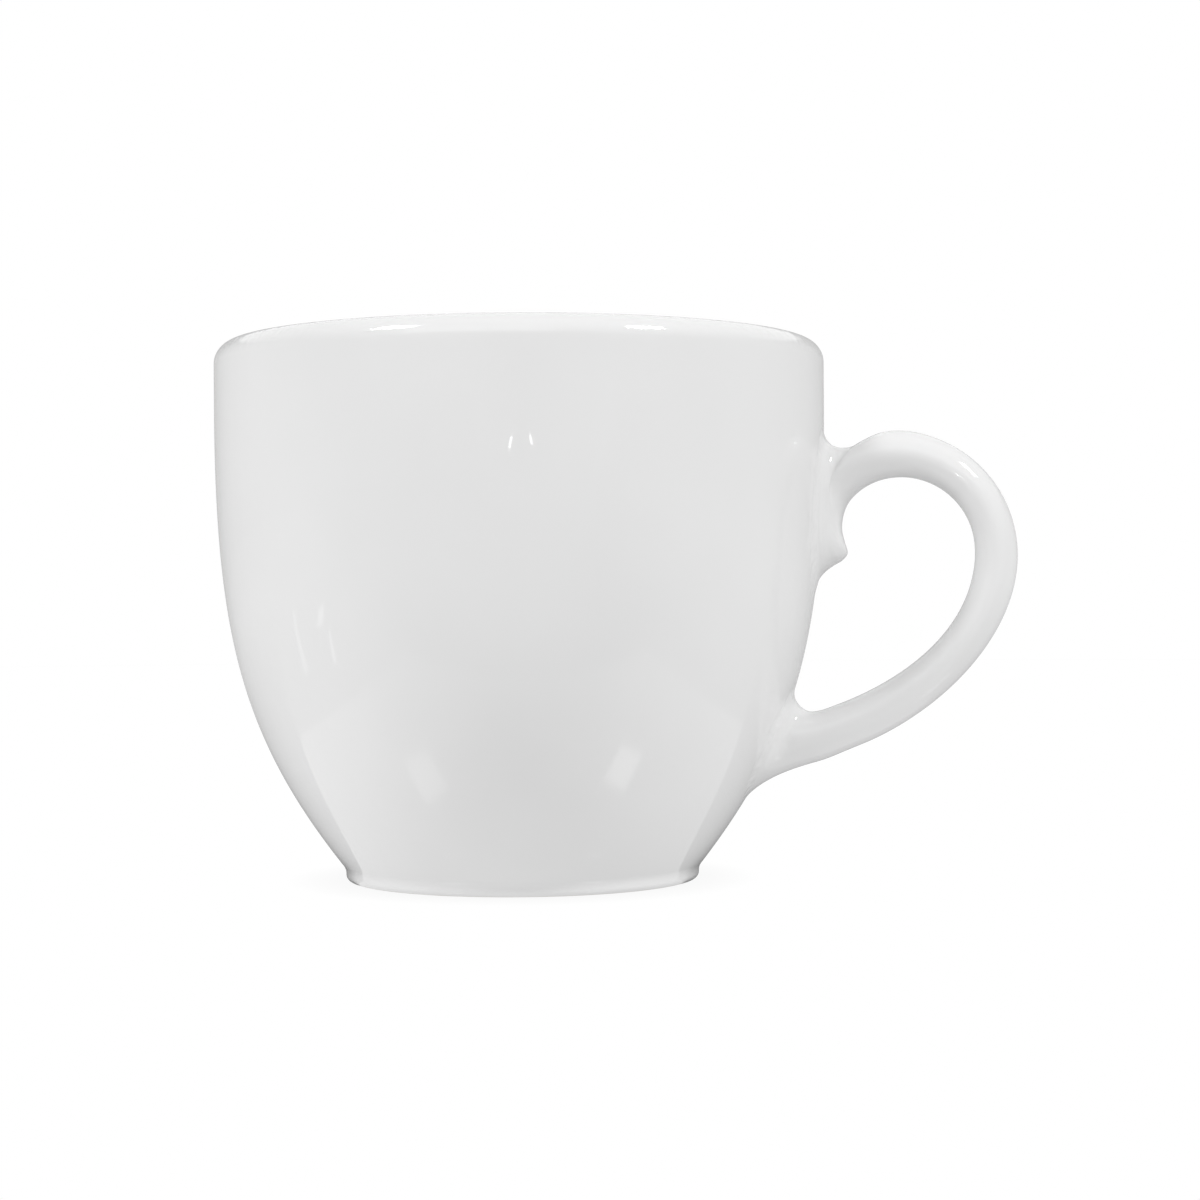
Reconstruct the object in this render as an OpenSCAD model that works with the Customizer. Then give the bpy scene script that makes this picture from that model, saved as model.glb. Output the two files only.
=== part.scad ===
// Espresso cup in white glazed porcelain, standing on its foot.
// The cup's axis is Z, the foot stands on z = 0 and the handle points along +X.
// All sizes are in millimetres and all angles in degrees.

/* [Bowl] */
// Height from the table to the rim
cup_h = 54.5; // [50:0.5:60]
// Widest diameter of the wall
body_d = 62; // [58:1:68]
// Thickness of the wall below the rim
wall_t = 3.2; // [2.8:0.1:3.6]
// Height of the upright band below the rim
band_h = 6.5; // [5:0.5:7.5]
// Lean of the wall where it leaves the foot, from upright
flare_angle = 38; // [34:1:42]
// How far the wall keeps that lean
flare_len = 17; // [15:0.5:19]
// How far down the wall stays nearly upright
belly_len = 23; // [20:0.5:25]
// Radius of the rim's outer rounding
lip_r = 2.2; // [1.6:0.1:2.4]

/* [Floor and foot] */
// Thickness of the floor
floor_t = 3.2; // [2.6:0.1:4.5]
// Diameter of the flat middle of the floor
floor_flat_d = 14; // [10:1:18]
// Diameter of the foot
foot_d = 36; // [33:1:39]
// Height of the foot's upright edge
foot_h = 1.2; // [0.9:0.1:1.8]
// Width of the ring that stands on the table
ring_w = 2.4; // [1.8:0.1:3]
// Depth of the hollow inside the foot
hollow_h = 2; // [1.4:0.1:2.6]

/* [Handle] */
// Height of the rim above the middle of the finger eye
eye_drop = 21.5; // [20.5:0.5:22.5]
// Distance of the middle of the finger eye from the seat of the upper root
eye_out = 7.5; // [6.9:0.1:7.9]
// Radius of the finger eye's round part
eye_r = 7.4; // [7:0.1:8]
// Radius of the handle's bend on its outer side
bend_r = 12.5; // [11.5:0.1:13.5]
// Thickness of the handle at its outermost point
tube_side_t = 4.2; // [3.8:0.1:4.6]
// Thickness of the handle at its top
tube_top_t = 4.7; // [4.3:0.1:5.1]
// Width of the handle, across the loop
tube_w = 5.4; // [4.8:0.1:6]
// Width of the foot of the upper root on the wall
upper_root_w = 10.8; // [9.8:0.2:12]
// Width of the foot of the lower root on the wall
lower_root_w = 11.2; // [10:0.2:12.4]
// How far the thorn under the upper root stands out
thorn_out = 1.4; // [1:0.1:1.7]
// How far the thorn hangs down
thorn_drop = 0.7; // [0.4:0.1:1]

/* [Slip joints] */
// Thickness of the slip between handle and wall
slip_t = 0.3; // [0.2:0.05:0.5]

/* [Hidden] */

// Facets of the bowl, and points around the handle
$fn = 180;
ring_n = 36;
curve_steps = 32;
arc_steps = 10;
// Rings that fill the end of a root, from its middle to its edge
cap_steps = 6;
// Rings from the edge of the slip up to its seat
feather_steps = 4;
// Room between two pieces at a seat, so that faceted faces never cross
seat_gap = 0.01;
// Share of a root's end that its first ring covers, as good as a point
core_share = 0.02;

porcelain = [0.9, 0.9, 0.89];
dried_slip = [0.86, 0.86, 0.84];

body_r = body_d / 2;
foot_r = foot_d / 2;
inner_r = body_r - wall_t;
band_z = cup_h - band_h;
floor_z = hollow_h + floor_t;
foot_edge_r = foot_h / 2;
lip_inner_r = wall_t - lip_r;

function bezier(p, t) =
    pow(1 - t, 3) * p[0] + 3 * pow(1 - t, 2) * t * p[1] + 3 * (1 - t) * t * t * p[2] + pow(t, 3) * p[3];

function curve(p) = [for (i = [0 : curve_steps]) bezier(p, i / curve_steps)];

// A length along a direction: lean measures its angle from upright, rise from level
function lean(angle, length) = length * [sin(angle), cos(angle)];

function rise(angle, length) = length * [cos(angle), sin(angle)];

function arc(centre, radius, from, to) =
    [for (i = [0 : arc_steps]) centre + rise(from + (to - from) * i / arc_steps, radius)];

function reverse(list) = [for (i = [len(list) - 1 : -1 : 0]) list[i]];

// Outer side of the wall, from the foot's edge up to the upright band
wall_foot = [foot_r, foot_h];
wall_top = [body_r, band_z];
flare = lean(flare_angle, flare_len);
outer_wall = curve([wall_foot, wall_foot + flare, wall_top - [0, belly_len], wall_top]);

// Inner side, from the upright band down to the flat of the floor.
// The pull sideways keeps the heel of the bowl a little thicker than its wall.
inner_top = [inner_r, band_z];
inner_floor = [floor_flat_d / 2, floor_z];
heel_drop = 0.71 * (band_z - floor_z);
heel_pull = 0.65 * (inner_r - floor_flat_d / 2);
inner_wall = curve([inner_top, inner_top - [0, heel_drop], inner_floor + [heel_pull, 0], inner_floor]);

// Radius of the outer wall at a height
wall_by_height = [for (p = concat(outer_wall, [[body_r, cup_h - lip_r]])) [p[1], p[0]]];

function wall_r(z) = lookup(z, wall_by_height);

// Half of the bowl's section: under the foot, up the outside, over the rim, down the inside
module bowl_section() {
    ring_out_r = foot_r - foot_edge_r;
    ring_in_r = ring_out_r - ring_w;
    polygon(concat(
        [[0, hollow_h], [ring_in_r - hollow_h / 2, hollow_h], [ring_in_r, 0]],
        arc([ring_out_r, foot_edge_r], foot_edge_r, 270, 360),
        outer_wall,
        arc([body_r - lip_r, cup_h - lip_r], lip_r, 0, 90),
        arc([inner_r + lip_inner_r, cup_h - lip_inner_r], lip_inner_r, 90, 180),
        inner_wall,
        [[0, floor_z]]
    ));
}

module bowl() {
    color(porcelain) rotate_extrude() bowl_section();
}

// The handle is a loft of oval rings. Each station gives the ring's outer and inner point in the
// plane of the loop, then half its width across the loop, how far its sides lag behind towards the
// wall, and its share of the thorn. The lag rounds the inner edge and keeps the flare short.
// The roots are drawn for an eye of 7.4 mm radius and grow with it. Their places are measured
// outwards from the slip at one height for each root, and upwards from the eye's middle.
eye_z = cup_h - eye_drop;
root_scale = eye_r / 7.4;
upper_x = wall_r(eye_z + root_scale * 5) + slip_t;
lower_x = wall_r(eye_z - root_scale * 19) + slip_t;

// Width of a ring: a share of 0 is the tube's own width and 1 is the root's foot on the wall
function half_width(root_w, share) = (tube_w + (root_w - tube_w) * share) / 2;

function station(x, outer, inner, half_w, lag, thorn) =
    [[x, eye_z] + root_scale * outer, [x, eye_z] + root_scale * inner, [half_w, root_scale * lag, thorn]];

function upper(outer, inner, share, lag = 0, thorn = 0) =
    station(upper_x, outer, inner, half_width(upper_root_w, share), lag, thorn);

function lower(outer, inner, share, lag = 0, thorn = 0) =
    station(lower_x, outer, inner, half_width(lower_root_w, share), lag, thorn);

// Outlines of the joints on the wall: the foot is the edge of the slip, and the root sits on the seat
upper_foot = upper([0, 12.6], [0, -5.4], 1);
upper_seat = upper([0, 11.4], [0, -2.85], 0.54);
lower_foot = lower([0, -25], [0, -13.4], 1);
lower_seat = lower([0, -24], [0, -14.55], 0.54);

// Upper root: it lies low on the wall, carries the thorn on its inner side and then turns outwards
upper_root = [
    upper([0.43, 11.05], [-0.12, -1.8], 0.45, 0.05, 0.18),
    upper([0.83, 10.7], [0.23, -1], 0.32, 0.26, 0.5),
    upper([1.28, 10.52], [0.58, -0.25], 0.21, 0.5, 0.85),
    upper([1.68, 10.46], [0.88, 0.5], 0.13, 0.72, 1),
    upper([2.08, 10.45], [1.18, 1.3], 0.07, 0.92, 0.62),
    upper([2.48, 10.48], [1.48, 2.2], 0.04, 1.08, 0.2),
    upper([2.9, 10.6], [1.81, 3.5], 0.015, 1.18, 0.03),
    upper([3.45, 10.9], [2.35, 4.8], 0, 1.15),
    upper([4.3, 11.35], [3.45, 6], 0, 0.9),
    upper([5.6, 11.87], [5.1, 6.95], 0, 0.45)
];

// Bend: two arcs with shifted centres, so that the handle is thicker on top than at the side
bend_steps = 6;
bend_angle = 84;
eye = [upper_x + eye_out, eye_z];
bend = eye + [eye_r + tube_side_t - bend_r, eye_r + tube_top_t - bend_r];
bend_rings = [
    for (i = [0 : bend_steps])
        let (a = bend_angle * (1 - i / bend_steps))
        [bend + rise(a, bend_r), eye + rise(a, eye_r), [tube_w / 2, 0, 0]]
];

// Leg: sweeps from the bend down to the lower root, and widens a little on its way.
// Each side keeps its direction for the first pull at the bend and for the second at the root.
leg_steps = 8;
leg_angle = 20;
outer_pull = root_scale * [8, 10];
inner_pull = root_scale * [7.4, 7.9];
leg_end = lower([6.9, -19.9], [5.7, -15.4], 0.06);

function leg_side(start, end, pull) = [start, start - [0, pull[0]], end + rise(leg_angle, pull[1]), end];

leg_outer = leg_side(bend + [bend_r, 0], leg_end[0], outer_pull);
leg_inner = leg_side(eye + [eye_r, 0], leg_end[1], inner_pull);
leg_rings = [
    for (i = [1 : leg_steps])
        let (t = i / leg_steps)
        [bezier(leg_outer, t), bezier(leg_inner, t), (1 - t) * [tube_w / 2, 0, 0] + t * leg_end[2]]
];

lower_root = [
    lower([4.7, -20.8], [4.2, -15.9], 0.05, 0.35),
    lower([2.7, -21.4], [3.3, -16], 0.06, 0.7),
    lower([1.1, -21.95], [2.7, -15.8], 0.1, 0.75),
    lower([-0.3, -22.55], [2.2, -15.4], 0.24, 0.5)
];

stations = concat(upper_root, bend_rings, leg_rings, lower_root);

// One more station halfway between two, on a smooth curve through their neighbours
function between(a, b, c, d) = (9 * (b + c) - a - d) / 16;

function refined(list) = let (last = len(list) - 1) [
    for (i = [0 : last])
        each i == last ? [list[i]] : [
            list[i],
            between(list[max(i - 1, 0)], list[i], list[i + 1], list[min(i + 2, last)])
        ]
];

// A point wrapped around the cup's axis: its radius, its offset across the loop and its height
function wrapped(r, y, z) = [sqrt(r * r - y * y), y, z];

// The ring of a station. The thorn draws out its inner end, and the fourth power keeps the thorn
// to the middle of the ring's width.
thorn_reach = [thorn_out, -thorn_drop];

function oval(s) = [
    for (i = [0 : ring_n - 1])
        let (
            a = 360 * i / ring_n,
            lag = [s[2][1] * pow(sin(a), 2), 0],
            thorn = s[2][2] * pow(max(-cos(a), 0), 4) * thorn_reach,
            p = (s[0] + s[1]) / 2 + cos(a) * (s[0] - s[1]) / 2 - lag + thorn
        )
        wrapped(p[0], s[2][0] * sin(a), p[1])
];

// The same oval shrunk to a share of its size and laid on the wall, at a height above it
function oval_on_wall(s, share, above) = [
    for (i = [0 : ring_n - 1])
        let (a = 360 * i / ring_n, z = (s[0][1] + s[1][1]) / 2 + share * cos(a) * (s[0][1] - s[1][1]) / 2)
        wrapped(wall_r(z) + above, share * s[2][0] * sin(a), z)
];

function cap_share(i) = max(i / cap_steps, core_share);

// Rings that fill an oval on the wall, from its middle to its edge
function cap(s, above) = [for (i = [0 : cap_steps]) oval_on_wall(s, cap_share(i), above)];

// A solid skin over rings that all have the same number of points
module skin(rings) {
    last = len(rings) - 1;
    sides = [
        for (k = [0 : last - 1], i = [0 : ring_n - 1])
            let (j = (i + 1) % ring_n, near = k * ring_n, far = near + ring_n)
            each [[near + i, near + j, far + i], [near + j, far + j, far + i]]
    ];
    first_end = [for (i = [ring_n - 1 : -1 : 0]) i];
    last_end = [for (i = [0 : ring_n - 1]) last * ring_n + i];
    polyhedron(points = [for (ring = rings) each ring], faces = concat(sides, [first_end, last_end]));
}

module handle() {
    color(porcelain) skin(concat(
        cap(upper_seat, slip_t + seat_gap),
        [for (s = refined(stations)) oval(s)],
        reverse(cap(lower_seat, slip_t + seat_gap))
    ));
}

// A joint fills the room between the wall and a root's seat, and feathers out over the wall
function joint_rings(foot, seat) =
    let (
        feather = [
            for (i = [1 : feather_steps - 1])
                let (t = i / feather_steps)
                oval_on_wall(foot + t * (seat - foot), 1, seat_gap + (slip_t - seat_gap) * t * t)
        ]
    )
    concat(cap(foot, seat_gap), feather, reverse(cap(seat, slip_t)));

module upper_slip_joint() {
    color(dried_slip) skin(joint_rings(upper_foot, upper_seat));
}

// The handle's rings run towards the wall here, so the joint's do too
module lower_slip_joint() {
    color(dried_slip) skin(reverse(joint_rings(lower_foot, lower_seat)));
}

bowl();
handle();
upper_slip_joint();
lower_slip_joint();
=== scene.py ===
"""Espresso cup in white glazed porcelain, in a plain white studio.

Sizes are in millimetres and become metres where meshes, lamps and the camera are made.
The cup stands on z = 0, its axis is Z, and its handle points along +X.
"""

from math import atan, cos, pi, radians, sin

import bpy
import numpy as np
from mathutils import Matrix, Vector


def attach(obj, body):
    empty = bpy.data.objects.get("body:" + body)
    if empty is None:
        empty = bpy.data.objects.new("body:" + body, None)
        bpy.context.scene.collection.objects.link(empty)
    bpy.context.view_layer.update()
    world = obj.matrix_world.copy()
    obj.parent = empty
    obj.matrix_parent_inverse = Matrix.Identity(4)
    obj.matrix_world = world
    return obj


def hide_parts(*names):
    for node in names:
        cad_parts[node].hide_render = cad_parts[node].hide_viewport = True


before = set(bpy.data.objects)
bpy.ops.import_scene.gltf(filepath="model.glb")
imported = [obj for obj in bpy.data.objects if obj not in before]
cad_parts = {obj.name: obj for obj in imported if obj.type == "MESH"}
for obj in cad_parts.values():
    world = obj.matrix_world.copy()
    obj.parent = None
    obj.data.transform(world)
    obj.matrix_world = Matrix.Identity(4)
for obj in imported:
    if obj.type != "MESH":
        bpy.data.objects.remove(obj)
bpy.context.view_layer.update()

MM = 0.001

# Bowl
CUP_H = 54.5
BODY_R = 31.0
WALL_T = 3.2
BAND_Z = CUP_H - 6.5
FLARE_ANGLE = radians(38)
FLARE_LEN = 17.0
BELLY_LEN = 23.0
LIP_R = 2.2
INNER_R = BODY_R - WALL_T
LIP_INNER_R = WALL_T - LIP_R
INNER_SIDE_SHARE = 0.71
INNER_FLOOR_SHARE = 0.65

# Floor and foot
HOLLOW_H = 2.0
FLOOR_Z = HOLLOW_H + 3.2
FLOOR_FLAT_R = 7.0
FOOT_R = 18.0
FOOT_H = 1.2
FOOT_EDGE_R = FOOT_H / 2
RING_W = 2.4
BARE_H = 0.12
BARE_PAST_RING = 0.35

# Handle
EYE_Z = CUP_H - 21.5
EYE_OUT = 7.5
EYE_R = 7.4
BEND_R = 12.5
TUBE_SIDE_T = 4.2
TUBE_TOP_T = 4.7
TUBE_W = 5.4
UPPER_ROOT_UP = 5
LOWER_ROOT_UP = -19
UPPER_ROOT_W = 10.8
LOWER_ROOT_W = 11.2
LEG_ANGLE = radians(20)
LEG_OUTER_PULLS = (8, 10)
LEG_INNER_PULLS = (7.4, 7.9)
THORN_REACH = np.array([1.4, -0.7])
SLIP_T = 0.3

# Mesh density
TURN_STEPS = 256
CURVE_STEPS = 60
ARC_STEPS = 14
RING_POINTS = 64
RING_STEPS = 8


def bezier(a, b, c, d, steps=CURVE_STEPS):
    t = np.linspace(0, 1, steps + 1)[:, None]
    a, b, c, d = (np.array(p, float) for p in (a, b, c, d))
    return (1 - t) ** 3 * a + 3 * (1 - t) ** 2 * t * b + 3 * (1 - t) * t**2 * c + t**3 * d


def arc(centre, radius, start, end, steps=ARC_STEPS):
    a = np.radians(np.linspace(start, end, steps + 1))
    return np.array(centre) + radius * np.stack([np.cos(a), np.sin(a)], axis=1)


def soft_corner(before, corner, after, reach, steps=6):
    """Points that round a corner, starting and ending at most reach away from it."""
    before, corner, after = (np.array(p, float) for p in (before, corner, after))
    way_in, way_out = before - corner, after - corner
    p = corner + way_in * min(1, reach / np.linalg.norm(way_in))
    q = corner + way_out * min(1, reach / np.linalg.norm(way_out))
    return bezier(p, (p + 2 * corner) / 3, (q + 2 * corner) / 3, q, steps)


# Bowl outlines, as pairs of radius and height
wall_foot = np.array([FOOT_R, FOOT_H])
wall_top = np.array([BODY_R, BAND_Z])
wall_lean = np.array([sin(FLARE_ANGLE), cos(FLARE_ANGLE)])
outer_wall = bezier(wall_foot, wall_foot + FLARE_LEN * wall_lean, wall_top - [0, BELLY_LEN], wall_top)
inner_wall = bezier(
    (INNER_R, BAND_Z),
    (INNER_R, BAND_Z - INNER_SIDE_SHARE * (BAND_Z - FLOOR_Z)),
    (FLOOR_FLAT_R + INNER_FLOOR_SHARE * (INNER_R - FLOOR_FLAT_R), FLOOR_Z),
    (FLOOR_FLAT_R, FLOOR_Z),
)


def wall_r(z):
    """Radius of the outer wall at a height."""
    return np.interp(z, outer_wall[:, 1], outer_wall[:, 0])


def bowl_outline():
    """The bowl's section, from the middle of its underside round to the middle of its floor."""
    ring_out = FOOT_R - FOOT_EDGE_R
    ring_in = ring_out - RING_W
    hollow_r = ring_in - HOLLOW_H / 2
    straight = np.linspace(0, 1, 12)[:, None]
    band = wall_top + straight[1:-1] * [0, CUP_H - LIP_R - BAND_Z]
    inner_top = np.array([INNER_R, CUP_H - LIP_INNER_R])
    inner_band = inner_top - straight[1:-1] * [0, CUP_H - LIP_INNER_R - BAND_Z]
    underside = straight * [hollow_r - 1, 0] + [0, HOLLOW_H]
    floor = np.array([FLOOR_FLAT_R, FLOOR_Z]) * (1 - straight[1:]) + straight[1:] * [0, FLOOR_Z]
    foot = arc((ring_out, FOOT_EDGE_R), FOOT_EDGE_R, 270, 360, 8)
    return np.concatenate([
        underside,
        soft_corner((0, HOLLOW_H), (hollow_r, HOLLOW_H), (ring_in, 0), 0.8),
        soft_corner((hollow_r, HOLLOW_H), (ring_in, 0), (ring_out, 0), 0.5),
        foot,
        soft_corner(foot[-1], wall_foot, outer_wall[3], 0.5),
        outer_wall[1:],
        band,
        arc((BODY_R - LIP_R, CUP_H - LIP_R), LIP_R, 0, 90),
        arc((INNER_R + LIP_INNER_R, CUP_H - LIP_INNER_R), LIP_INNER_R, 90, 180)[1:],
        inner_band,
        inner_wall,
        floor,
    ])


def turned_mesh(name, outline):
    """A solid of revolution. The outline starts and ends on the axis."""
    turns = np.arange(TURN_STEPS) * 2 * pi / TURN_STEPS
    inner = outline[1:-1]
    x = inner[:, None, 0] * np.cos(turns)
    y = inner[:, None, 0] * np.sin(turns)
    z = np.repeat(inner[:, 1:], TURN_STEPS, axis=1)
    points = np.stack([x, y, z], axis=2).reshape(-1, 3)
    first, last = len(points), len(points) + 1
    points = np.concatenate([points, [[0, 0, outline[0, 1]], [0, 0, outline[-1, 1]]]])
    rows = len(inner)
    faces = []
    for j in range(TURN_STEPS):
        k = (j + 1) % TURN_STEPS
        faces.append((first, k, j))
        for i in range(rows - 1):
            low, high = i * TURN_STEPS, (i + 1) * TURN_STEPS
            faces.append((low + j, low + k, high + k, high + j))
        top = (rows - 1) * TURN_STEPS
        faces.append((last, top + j, top + k))
    mesh = bpy.data.meshes.new(name)
    mesh.from_pydata((points * MM).tolist(), [], faces)
    mesh.shade_smooth()
    return mesh


# Handle: stations give a ring's outer point, inner point, half width, lag and share of the thorn.
# Places near a root are measured outwards from the slip there and upwards from the eye's middle.
UPPER_X = wall_r(EYE_Z + UPPER_ROOT_UP) + SLIP_T
LOWER_X = wall_r(EYE_Z + LOWER_ROOT_UP) + SLIP_T
EYE = np.array([UPPER_X + EYE_OUT, EYE_Z])
BEND = EYE + [EYE_R + TUBE_SIDE_T - BEND_R, EYE_R + TUBE_TOP_T - BEND_R]


def flare_w(root_w, share):
    return (TUBE_W + (root_w - TUBE_W) * share) / 2


def root_station(x, root_w, out_1, up_1, out_2, up_2, share, lag=0.0, thorn=0.0):
    ends = [x + out_1, EYE_Z + up_1, x + out_2, EYE_Z + up_2]
    return np.array([*ends, flare_w(root_w, share), lag, thorn])


def upper(*values):
    return root_station(UPPER_X, UPPER_ROOT_W, *values)


def lower(*values):
    return root_station(LOWER_X, LOWER_ROOT_W, *values)


def bend_stations(steps=6, start=84):
    for i in range(steps + 1):
        a = radians(start * (1 - i / steps))
        way = np.array([cos(a), sin(a)])
        yield np.concatenate([BEND + BEND_R * way, EYE + EYE_R * way, [TUBE_W / 2, 0, 0]])


def leg_curve(start, end, pulls, steps):
    """A curve that leaves the bend straight down and arrives at the root along the leg's angle."""
    way = np.array([cos(LEG_ANGLE), sin(LEG_ANGLE)])
    return bezier(start, start - [0, pulls[0]], end + pulls[1] * way, end, steps)


def leg_stations(end, steps=8):
    outer = leg_curve(BEND + [BEND_R, 0], end[:2], LEG_OUTER_PULLS, steps)
    inner = leg_curve(EYE + [EYE_R, 0], end[2:4], LEG_INNER_PULLS, steps)
    for i in range(1, steps + 1):
        half_w = TUBE_W / 2 + (end[4] - TUBE_W / 2) * i / steps
        yield np.concatenate([outer[i], inner[i], [half_w, 0, 0]])


def handle_stations():
    upper_root = [
        upper(0.43, 11.05, -0.12, -1.8, 0.45, 0.05, 0.18),
        upper(0.83, 10.7, 0.23, -1.0, 0.32, 0.26, 0.5),
        upper(1.28, 10.52, 0.58, -0.25, 0.21, 0.5, 0.85),
        upper(1.68, 10.46, 0.88, 0.5, 0.13, 0.72, 1.0),
        upper(2.08, 10.45, 1.18, 1.3, 0.07, 0.92, 0.62),
        upper(2.48, 10.48, 1.48, 2.2, 0.04, 1.08, 0.2),
        upper(2.9, 10.6, 1.81, 3.5, 0.015, 1.18, 0.03),
        upper(3.45, 10.9, 2.35, 4.8, 0.0, 1.15),
        upper(4.3, 11.35, 3.45, 6.0, 0.0, 0.9),
        upper(5.6, 11.87, 5.1, 6.95, 0.0, 0.45),
    ]
    leg_end = lower(6.9, -19.9, 5.7, -15.4, 0.06)
    lower_root = [
        lower(4.7, -20.8, 4.2, -15.9, 0.05, 0.35),
        lower(2.7, -21.4, 3.3, -16.0, 0.06, 0.7),
        lower(1.1, -21.95, 2.7, -15.8, 0.1, 0.75),
        lower(-0.3, -22.55, 2.2, -15.4, 0.24, 0.5),
    ]
    return [*upper_root, *bend_stations(), *leg_stations(leg_end), *lower_root]


RING_ANGLES = np.arange(RING_POINTS) * 2 * pi / RING_POINTS
FEATHER_STEPS = 4


def wrapped(r, y, z):
    """Points at radius r from the cup's axis, offset by y across the loop."""
    return np.stack([np.sqrt(r**2 - y**2), y, z], axis=1)


def oval(station):
    """A ring of the handle. Its sides lag towards the wall, and the thorn draws out its inner end."""
    outer, inner, (half_w, lag, thorn) = station[:2], station[2:4], station[4:]
    along, across = np.cos(RING_ANGLES), np.sin(RING_ANGLES)
    near_thorn = np.maximum(-along, 0) ** 4
    p = (outer + inner) / 2 + along[:, None] * (outer - inner) / 2
    p += thorn * near_thorn[:, None] * THORN_REACH
    return wrapped(p[:, 0] - lag * across**2, half_w * across, p[:, 1])


def oval_on_wall(station, above):
    """An oval laid on the wall, at a height above it."""
    z = (station[1] + station[3]) / 2 + np.cos(RING_ANGLES) * (station[1] - station[3]) / 2
    return wrapped(wall_r(z) + above, station[4] * np.sin(RING_ANGLES), z)


def smooth_through(rings):
    """More rings, on curves that pass smoothly through the given ones."""
    way = np.diff(rings, axis=0)
    gap = np.linalg.norm(way, axis=2, keepdims=True)
    slope = way / gap
    middle = (slope[:-1] * gap[1:] + slope[1:] * gap[:-1]) / (gap[1:] + gap[:-1])
    tangent = np.concatenate([slope[:1], middle, slope[-1:]])
    u = np.arange(RING_STEPS).reshape(1, -1, 1, 1) / RING_STEPS
    start, end = rings[:-1, None], rings[1:, None]
    leave, arrive = (gap * tangent[:-1])[:, None], (gap * tangent[1:])[:, None]
    rise = 3 * u**2 - 2 * u**3
    curves = start + rise * (end - start) + (u**3 - 2 * u**2 + u) * leave + (u**3 - u**2) * arrive
    return np.concatenate([curves.reshape(-1, *rings.shape[1:]), rings[-1:]])


def feather(foot, seat):
    """Rings of a joint: one beyond the foot that guides the curves onto the wall, then up to the seat."""
    for i in range(-1, FEATHER_STEPS + 1):
        t = i / FEATHER_STEPS
        yield oval_on_wall(foot + t * (seat - foot), SLIP_T * max(t, 0) ** 2)


def handle_rings():
    """Rings of the upper joint, the handle and the lower joint, in one smooth run."""
    upper_joint = feather(upper(0, 12.6, 0, -5.4, 1.0), upper(0, 11.4, 0, -2.85, 0.54))
    lower_joint = feather(lower(0, -25.0, 0, -13.4, 1.0), lower(0, -24.0, 0, -14.55, 0.54))
    stations = [oval(station) for station in handle_stations()]
    return smooth_through(np.array([*upper_joint, *stations, *reversed(list(lower_joint))]))


def ring_normals(rings):
    along = np.gradient(rings, axis=0)
    around = np.roll(rings, -1, axis=1) - np.roll(rings, 1, axis=1)
    normals = np.cross(along, around)
    return normals / np.linalg.norm(normals, axis=2, keepdims=True)


def lofted_mesh(name, rings, normals):
    """A closed skin over rings, shaded with the given normals so that neighbours meet unseen."""
    count = len(rings)
    points = np.concatenate([rings.reshape(-1, 3), [rings[0].mean(axis=0)], [rings[-1].mean(axis=0)]])
    flat_normals = normals.reshape(-1, 3)
    first, last = count * RING_POINTS, count * RING_POINTS + 1
    faces = []
    for i in range(count - 1):
        near, far = i * RING_POINTS, (i + 1) * RING_POINTS
        for j in range(RING_POINTS):
            k = (j + 1) % RING_POINTS
            faces.append((near + j, far + j, far + k, near + k))
    sides = len(faces)
    end = (count - 1) * RING_POINTS
    for j in range(RING_POINTS):
        k = (j + 1) % RING_POINTS
        faces.append((first, j, k))
        faces.append((last, end + k, end + j))
    mesh = bpy.data.meshes.new(name)
    mesh.from_pydata((points * MM).tolist(), [], faces)
    mesh.shade_smooth()
    corner_normals = [tuple(flat_normals[v]) for face in faces[:sides] for v in face]
    corner_normals += [tuple(mesh.polygons[i].normal) for i in range(sides, len(faces)) for _ in range(3)]
    mesh.normals_split_custom_set(corner_normals)
    return mesh


def add_piece(name, mesh, node, slot, *materials):
    piece = bpy.data.objects.new(name, mesh)
    bpy.context.scene.collection.objects.link(piece)
    for material in materials:
        mesh.materials.append(material)
    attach(piece, "root")
    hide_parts(node)


# Materials, with lumps per metre and their depth in metres
LIP_LUMPS = 800.0
LIP_DEPTH = 0.0001


class Nodes:
    """Short calls for building one material's or the world's nodes."""

    def __init__(self, owner):
        self.tree = owner.node_tree
        self.tree.nodes.clear()

    def add(self, kind, **inputs):
        node = self.tree.nodes.new("ShaderNode" + kind)
        for name, value in inputs.items():
            self.put(node, name.replace("_", " "), value)
        return node

    def put(self, node, socket, value):
        if isinstance(value, bpy.types.NodeSocket):
            self.tree.links.new(value, node.inputs[socket])
        else:
            node.inputs[socket].default_value = value

    def maths(self, operation, first, second):
        node = self.add("Math")
        node.operation = operation
        self.put(node, 0, first)
        self.put(node, 1, second)
        return node.outputs["Value"]

    def noise(self, scale, detail=2.0):
        place = self.add("TexCoord").outputs["Object"]
        return self.add("TexNoise", Vector=place, Scale=scale, Detail=detail).outputs["Fac"]

    def ramp(self, value, given, wanted):
        """Maps a value from one range to another, and holds it there."""
        node = self.add("MapRange", Value=value)
        for socket, number in zip(("From Min", "From Max", "To Min", "To Max"), (*given, *wanted)):
            node.inputs[socket].default_value = number
        return node.outputs["Result"]

    def spread(self, value, low, high):
        """Maps a noise's middle range to low and high."""
        return self.ramp(value, (0.3, 0.7), (low, high))

    def tint(self, value, dark, light):
        node = self.add("ValToRGB", Fac=value)
        node.color_ramp.elements[0].position = 0.3
        node.color_ramp.elements[1].position = 0.7
        node.color_ramp.elements[0].color = (*dark, 1)
        node.color_ramp.elements[1].color = (*light, 1)
        return node.outputs["Color"]

    def bump(self, height, distance, before=None):
        node = self.add("Bump", Height=height, Distance=distance)
        if before:
            self.put(node, "Normal", before)
        return node.outputs["Normal"]


def new_material(name):
    material = bpy.data.materials.new(name)
    material.use_nodes = True
    return material, Nodes(material)


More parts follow.
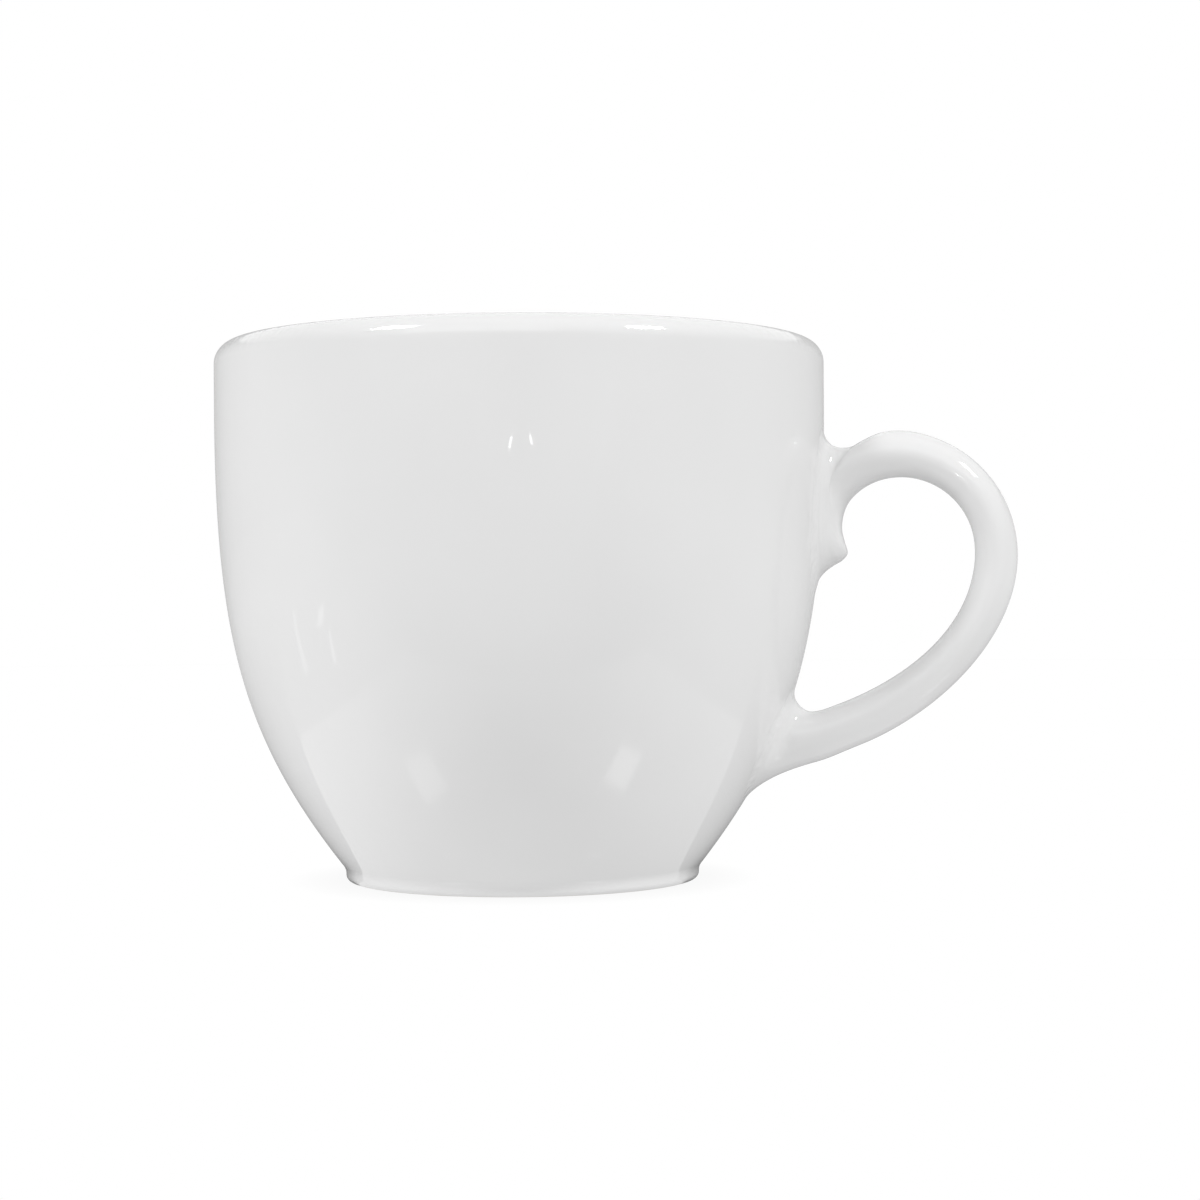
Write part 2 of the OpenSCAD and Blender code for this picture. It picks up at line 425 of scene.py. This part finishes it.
def glazed(name, lumps, depth):
    """White body under a clear glaze that lies uneven, as dipped glaze does, with a wavy coat on the lip."""
    material, nodes = new_material(name)
    colour = nodes.tint(nodes.noise(60.0), (0.79, 0.79, 0.79), (0.81, 0.81, 0.81))
    height = nodes.add("SeparateXYZ", Vector=nodes.add("TexCoord").outputs["Object"]).outputs["Z"]
    on_lip = nodes.ramp(height, ((CUP_H - LIP_R) * MM, (CUP_H - LIP_R / 2) * MM), (0, 1))
    uneven = nodes.bump(nodes.noise(lumps), depth)
    shader = nodes.add(
        "BsdfPrincipled",
        Base_Color=colour,
        Roughness=nodes.spread(nodes.noise(240.0), 0.02, 0.04),
        Normal=nodes.bump(nodes.noise(1100.0, 1.0), 0.0000004, uneven),
        Coat_Weight=on_lip,
        Coat_Normal=nodes.bump(nodes.noise(LIP_LUMPS, 1.0), LIP_DEPTH),
    )
    shader.inputs["IOR"].default_value = 1.5
    nodes.add("OutputMaterial", Surface=shader.outputs["BSDF"])
    return material


def bare_biscuit():
    """Unglazed porcelain of the standing ring: dry, fine-grained and slightly worn."""
    material, nodes = new_material("bare_biscuit")
    grain = nodes.noise(2600.0, 4.0)
    colour = nodes.tint(nodes.noise(500.0, 4.0), (0.66, 0.65, 0.62), (0.76, 0.75, 0.73))
    shader = nodes.add(
        "BsdfPrincipled",
        Base_Color=colour,
        Roughness=nodes.spread(grain, 0.75, 0.9),
        Normal=nodes.bump(grain, 0.00003),
    )
    nodes.add("OutputMaterial", Surface=shader.outputs["BSDF"])
    return material


def build_cup():
    glaze = glazed("glazed_porcelain", lumps=90.0, depth=0.00004)
    slip_glaze = glazed("glazed_slip", lumps=450.0, depth=0.0002)
    outline = bowl_outline()
    bowl = turned_mesh("bowl", outline)
    add_piece("cup_bowl", bowl, "bowl", "glazed_porcelain", glaze, bare_biscuit())
    ring_out = FOOT_R - FOOT_EDGE_R
    for face in bowl.polygons:
        r = Vector(face.center[:2]).length / MM
        if face.center.z / MM < BARE_H and r < ring_out + BARE_PAST_RING:
            face.material_index = 1
    rings = handle_rings()
    normals = ring_normals(rings)
    guide = RING_STEPS
    seat = (FEATHER_STEPS + 1) * guide
    slices = (
        ("cup_handle", "handle", "glazed_porcelain", glaze, slice(seat, -seat)),
        ("cup_upper_joint", "upper_slip_joint", "slip", slip_glaze, slice(guide, seat + 1)),
        ("cup_lower_joint", "lower_slip_joint", "slip", slip_glaze, slice(-seat - 1, -guide)),
    )
    for name, node, slot, material, part in slices:
        add_piece(name, lofted_mesh(name, rings[part], normals[part]), node, slot, material)


# Camera: level with the cup's middle, a little to the right of the bowl, and turned towards the handle
VIEW_TURN = radians(9.5)
VIEW_DISTANCE = 255.0
VIEW_OFFSET = 8.06
VIEW_HEIGHT = 28.33
VIEW_ROLL = radians(-0.37)
FRAME_PX = 1200
FOCAL_PX = 2489


def add_camera():
    camera = bpy.data.cameras.new("camera")
    camera.sensor_width = 36
    camera.angle = 2 * atan(FRAME_PX / 2 / FOCAL_PX)
    camera.clip_start = 0.01
    obj = bpy.data.objects.new("camera", camera)
    place = Vector((VIEW_OFFSET, -VIEW_DISTANCE, VIEW_HEIGHT)) * MM
    turn = Matrix.Rotation(VIEW_TURN, 4, "Z")
    level = Matrix.Rotation(pi / 2, 4, "X")
    obj.matrix_world = turn @ Matrix.Translation(place) @ level @ Matrix.Rotation(VIEW_ROLL, 4, "Z")
    bpy.context.scene.collection.objects.link(obj)
    bpy.context.scene.camera = obj


# Studio, in a frame turned with the camera: X to its right, Y away from it, heights from the floor
# Levels are relative to white paper, and lamps are brighter than that
KEY_LEFT = 24.0
KEY_RIGHT = 38.0
FILL = 0.65
CAMERA_LIGHT = 25.0
MIRRORED_SKY = 1.0
SKY_LEFT = 0.0
SKY_FRONT = 0.55
SKY_RIGHT = 0.25
SKY_BACK = 0.5
ROOM_LEFT = 0.9
ROOM_FRONT_LEFT = 1.15
ROOM_FRONT = 0.55
ROOM_FRONT_RIGHT = 0.95
ROOM_RIGHT = 0.9
ROOM_BACK_RIGHT = 0.65
ROOM_BACK = 0.55
# Painted shade of the floor near the cup, and the cup's painted shadow behind the foot
SHADE = 0.5
SHADE_RIGHT = 0.4
SHADE_BACK = 0.2
# Painted light of a patch on the floor under the cup, brighter towards its sides
SHEET_LIGHT_MIDDLE = 0.3
SHEET_LIGHT_SIDES = 0.35
# Glow of the strips on the floor: painted light that the glaze shows as thin bright reflections
FLOOR_STRIP_GLOW = 2.0
FLOOR_GLOSS = 0.04
CONTACT_SHADE = 0.92

# The floor's painted shade ends between two distances from the axis, and is darkest behind two slanting
# lines, where the cup's painted shadow lies
SHADE_FROM = 20
SHADE_TO = 220
DARK_FROM_Y = -11.8
DARK_SLANT = 0.27

# Patch of painted light on the floor under the cup
SHEET_X = 3
SHEET_Y = -30
SHEET_HALF_W = 53
SHEET_HALF_D = 33
SHEET_TURN = radians(3)

# Lit strips: lights beside the lens, and glowing strips that lie just above the floor and paint reflections
# in the glaze
CAMERA_LIGHT_Y = -VIEW_DISTANCE - 1
CAMERA_LIGHT_HALF_W = 0.9
FLOOR_STRIP_Z = 0.2


def add_stage(name, points, faces, material):
    mesh = bpy.data.meshes.new(name)
    mesh.from_pydata([tuple(c * MM for c in p) for p in points], [], faces)
    mesh.materials.append(material)
    obj = bpy.data.objects.new(name, mesh)
    obj.rotation_euler.z = VIEW_TURN
    bpy.context.scene.collection.objects.link(obj)
    return obj


def level_round(nodes, stops, place):
    """A level that goes round the cup's axis, from pairs of azimuth and level.

    Azimuth 0 is towards the camera and grows to the camera's right."""
    turn = nodes.add("TexGradient", Vector=place)
    turn.gradient_type = "RADIAL"
    ramp = nodes.add("ValToRGB", Fac=turn.outputs["Fac"])
    around = sorted(((azimuth + 90) % 360 / 360, level) for azimuth, level in stops)
    (first, first_level), (last, last_level) = around[0], around[-1]
    seam = first_level + (last_level - first_level) * first / (1 - last + first)
    elements = ramp.color_ramp.elements
    while len(elements) < len(around) + 2:
        elements.new(0.5)
    for element, (position, level) in zip(elements, [(0, seam), *around, (1, seam)]):
        element.position = position
        element.color = (level, level, level, 1)
    return ramp.outputs["Color"]


def room_level(nodes):
    """The room as the cup mirrors it: white at the sides, and grey behind the camera and the cup."""
    left = ((-150, ROOM_BACK), (-105, ROOM_LEFT), (-50, ROOM_FRONT_LEFT))
    right = ((50, ROOM_FRONT_RIGHT), (85, ROOM_RIGHT), (120, ROOM_BACK_RIGHT), (150, ROOM_BACK))
    stops = (*left, (0, ROOM_FRONT), *right)
    return level_round(nodes, stops, nodes.add("TexCoord").outputs["Object"])


def painted_sheet_light(nodes, place):
    """Painted light that a patch under the cup adds to the floor's level, more so towards its sides."""
    fit = nodes.add("Mapping", Vector=place)
    fit.vector_type = "TEXTURE"
    fit.inputs["Location"].default_value = (SHEET_X * MM, SHEET_Y * MM, 0)
    fit.inputs["Rotation"].default_value = (0, 0, SHEET_TURN)
    fit.inputs["Scale"].default_value = (SHEET_HALF_W * MM, SHEET_HALF_D * MM, 1)
    sides = nodes.add("SeparateXYZ", Vector=fit.outputs["Vector"])
    across, along = sides.outputs["X"], sides.outputs["Y"]
    to_ends = nodes.maths("MULTIPLY", across, across)
    more = nodes.maths("MULTIPLY", to_ends, SHEET_LIGHT_SIDES)
    furthest = nodes.maths("MAXIMUM", to_ends, nodes.maths("MULTIPLY", along, along))
    on_sheet = nodes.maths("LESS_THAN", furthest, 1.0)
    return nodes.maths("MULTIPLY", on_sheet, nodes.maths("ADD", more, SHEET_LIGHT_MIDDLE))


def floor_level(nodes):
    """The floor's painted light and shade, as the cup mirrors it: like the room far off, with painted shade
    behind the foot.
    """
    place = nodes.add("TexCoord").outputs["Object"]
    distance = nodes.add("VectorMath")
    distance.operation = "LENGTH"
    nodes.tree.links.new(place, distance.inputs[0])
    to_clear = nodes.ramp(distance.outputs["Value"], (SHADE_FROM * MM, SHADE_TO * MM), (0, 1))
    clear = nodes.maths("POWER", to_clear, 0.5)
    sides = nodes.add("SeparateXYZ", Vector=place)
    to_side = nodes.maths("MULTIPLY", nodes.maths("ABSOLUTE", sides.outputs["X"], 0), DARK_SLANT)
    edge = nodes.maths("ADD", to_side, DARK_FROM_Y * MM)
    # Painted shadow of the cup, behind two lines that run back from the foot
    behind = nodes.maths("GREATER_THAN", sides.outputs["Y"], edge)
    stops = ((-60, SHADE), (0, SHADE), (60, SHADE_RIGHT))
    front = nodes.maths("ADD", level_round(nodes, stops, place), painted_sheet_light(nodes, place))
    near = nodes.add("Mix", Factor=behind, A=front, B=SHADE_BACK)
    mix = nodes.add("Mix", Factor=clear, A=near.outputs["Result"], B=room_level(nodes))
    return mix.outputs["Result"]


def build_floor():
    """A white floor. The camera sees it as white, with a painted soft shadow where the cup stands. Other
    rays see it glow with painted light and shade.
    """
    material, nodes = new_material("white_floor")
    contact = nodes.add("AmbientOcclusion", Distance=0.006)
    contact.samples = 12
    shade = nodes.add("ValToRGB", Fac=contact.outputs["AO"])
    shade.color_ramp.elements[0].color = (CONTACT_SHADE, CONTACT_SHADE, CONTACT_SHADE, 1)
    shade.color_ramp.elements[1].position = 0.9
    seen = nodes.add("Emission", Color=shade.outputs["Color"], Strength=1.0)
    # The floor glows with painted light and shade for every ray but the camera's
    glow = nodes.add("Emission", Color=(1, 1, 1, 1), Strength=floor_level(nodes))
    gloss = nodes.add("BsdfGlossy", Color=(FLOOR_GLOSS, FLOOR_GLOSS, FLOOR_GLOSS, 1), Roughness=0.1)
    lit = nodes.add("AddShader")
    nodes.tree.links.new(glow.outputs["Emission"], lit.inputs[0])
    nodes.tree.links.new(gloss.outputs["BSDF"], lit.inputs[1])
    rays = nodes.add("LightPath")
    mix = nodes.add("MixShader", Fac=rays.outputs["Is Camera Ray"])
    nodes.tree.links.new(lit.outputs["Shader"], mix.inputs[1])
    nodes.tree.links.new(seen.outputs["Emission"], mix.inputs[2])
    nodes.add("OutputMaterial", Surface=mix.outputs["Shader"])
    size = 2000
    corners = [(-size, -size, 0), (size, -size, 0), (size, size, 0), (-size, size, 0)]
    add_stage("floor", corners, [(0, 1, 2, 3)], material)


def build_surround():
    """A wall round the set, outside the picture, that the glaze mirrors at its edges."""
    material, nodes = new_material("studio_wall")
    glow = nodes.add("Emission", Color=room_level(nodes), Strength=1.0)
    nodes.add("OutputMaterial", Surface=glow.outputs["Emission"])
    radius, height, steps = 900, 420, 64
    turns = [2 * pi * i / steps for i in range(steps)]
    points = [(radius * cos(a), radius * sin(a), z) for z in (0, height) for a in turns]
    faces = [(i, (i + 1) % steps, steps + (i + 1) % steps, steps + i) for i in range(steps)]
    wall = add_stage("surround", points, faces, material)
    wall.visible_camera = False


def build_world():
    """White behind the cup, and soft light from above."""
    world = bpy.data.worlds.new("studio")
    bpy.context.scene.world = world
    world.use_nodes = True
    nodes = Nodes(world)
    rays = nodes.add("LightPath")
    mirrored = nodes.maths("MAXIMUM", rays.outputs["Is Glossy Ray"], rays.outputs["Is Transmission Ray"])
    turned = nodes.add("Mapping", Vector=nodes.add("TexCoord").outputs["Generated"])
    turned.inputs["Rotation"].default_value = (0, 0, -VIEW_TURN)
    stops = ((-90, SKY_LEFT), (0, SKY_FRONT), (90, SKY_RIGHT), (180, SKY_BACK))
    sky = level_round(nodes, stops, turned.outputs["Vector"])
    level = nodes.add("Mix", Factor=mirrored, A=sky, B=MIRRORED_SKY)
    seen = nodes.add("Mix", Factor=rays.outputs["Is Camera Ray"], A=level.outputs["Result"], B=1.0)
    light = nodes.add("Background", Color=(1, 1, 1, 1), Strength=seen.outputs["Result"])
    nodes.add("OutputWorld", Surface=light.outputs["Background"])


def add_strip(name, start, end, side, level):
    """A lit strip outside the picture, that shows only as a reflection. Its side is half its width."""
    start, end, side = np.array(start, float), np.array(end, float), np.array(side, float)
    material, nodes = new_material(name)
    glow = nodes.add("Emission", Color=(1, 1, 1, 1), Strength=level)
    nodes.add("OutputMaterial", Surface=glow.outputs["Emission"])
    corners = [start - side, start + side, end + side, end - side]
    strip = add_stage(name, corners, [(0, 1, 2, 3)], material)
    strip.visible_camera = False
    strip.visible_shadow = False


def add_camera_light(name, low, high):
    """A small light beside the lens. Its ends are pairs of X and height."""
    ends = [(x, CAMERA_LIGHT_Y, z) for x, z in (low, high)]
    add_strip(name, *ends, (CAMERA_LIGHT_HALF_W, 0, 0), CAMERA_LIGHT)


def add_glowing_floor_strip(name, start, end, half_w, level):
    """A bright strip just above the table that glows, to paint a reflection in the glaze. Its ends are pairs
    of X and Y.
    """
    add_strip(name, (*start, FLOOR_STRIP_Z), (*end, FLOOR_STRIP_Z), (0, half_w, 0), level)


def add_softbox(name, azimuth, elevation, width, height, radiance, distance=1200):
    """A soft box aimed at the cup. Azimuth 0 is towards the camera and grows to the camera's right."""
    turn = radians(azimuth) + VIEW_TURN
    rise = radians(elevation)
    way = Vector((sin(turn) * cos(rise), -cos(turn) * cos(rise), sin(rise)))
    lamp = bpy.data.lights.new(name, "AREA")
    lamp.shape = "RECTANGLE"
    lamp.size = width * MM
    lamp.size_y = height * MM
    lamp.energy = radiance * pi * lamp.size * lamp.size_y
    obj = bpy.data.objects.new(name, lamp)
    obj.location = (way * distance + Vector((0, 0, CUP_H / 2))) * MM
    obj.rotation_euler = way.to_track_quat("Z", "Y").to_euler()
    bpy.context.scene.collection.objects.link(obj)


build_cup()
build_floor()
build_surround()
build_world()
add_softbox("left_softbox", -56.8, 49, 240, 230, KEY_LEFT)
add_softbox("right_softbox", 60.5, 47, 220, 200, KEY_RIGHT)
add_softbox("left_fill", -30, 33, 560, 420, FILL)
add_softbox("front_fill", 0, 33, 560, 420, FILL)
add_camera_light("camera_light_left", (-9.4, 45), (-5.6, 49))
add_camera_light("camera_light_right", (24.8, 47), (22, 50))
add_glowing_floor_strip("glowing_floor_strip_far", (-158, -5), (-80, -13), 2, 0.75 * FLOOR_STRIP_GLOW)
add_glowing_floor_strip("glowing_floor_strip_near", (-105, -41), (-73, -34), 1.2, FLOOR_STRIP_GLOW)
add_glowing_floor_strip("glowing_floor_strip_end", (-142, -44), (-116, -34), 3.5, FLOOR_STRIP_GLOW)
add_camera()
bpy.context.scene.view_settings.view_transform = "Standard"
